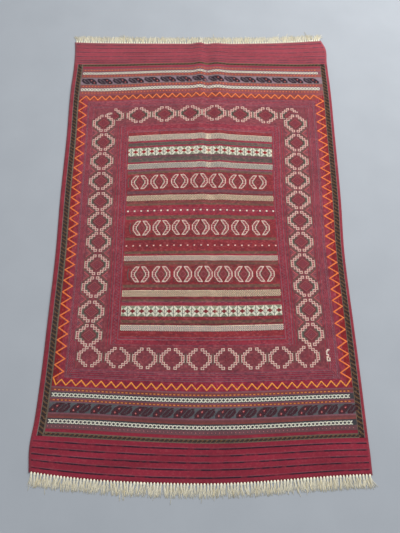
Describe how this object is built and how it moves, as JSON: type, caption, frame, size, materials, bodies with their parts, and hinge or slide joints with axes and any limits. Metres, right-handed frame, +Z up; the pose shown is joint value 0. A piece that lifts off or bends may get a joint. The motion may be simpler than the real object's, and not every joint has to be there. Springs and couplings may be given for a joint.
{
  "type": "soumak rug",
  "caption": "Flat woven wool rug in soumak work, deep red with ring borders and banded field, with a short warp fringe at both ends.",
  "frame": {"origin": "middle of the rug's box, on the floor under it", "axes": "+Z up out of the face of the rug, +Y along the warp from the near end towards the far end, +X across to the right"},
  "size_m": [1.224, 2.0464, 0.0119],
  "materials": {
    "rug_wool": "matte wool, woven",
    "warp_yarn": "matte undyed yarn"
  },
  "bodies": {
    "root": {"rug_cloth": "rug_wool", "fringe_near": "warp_yarn", "fringe_far": "warp_yarn"}
  },
  "joints": []
}
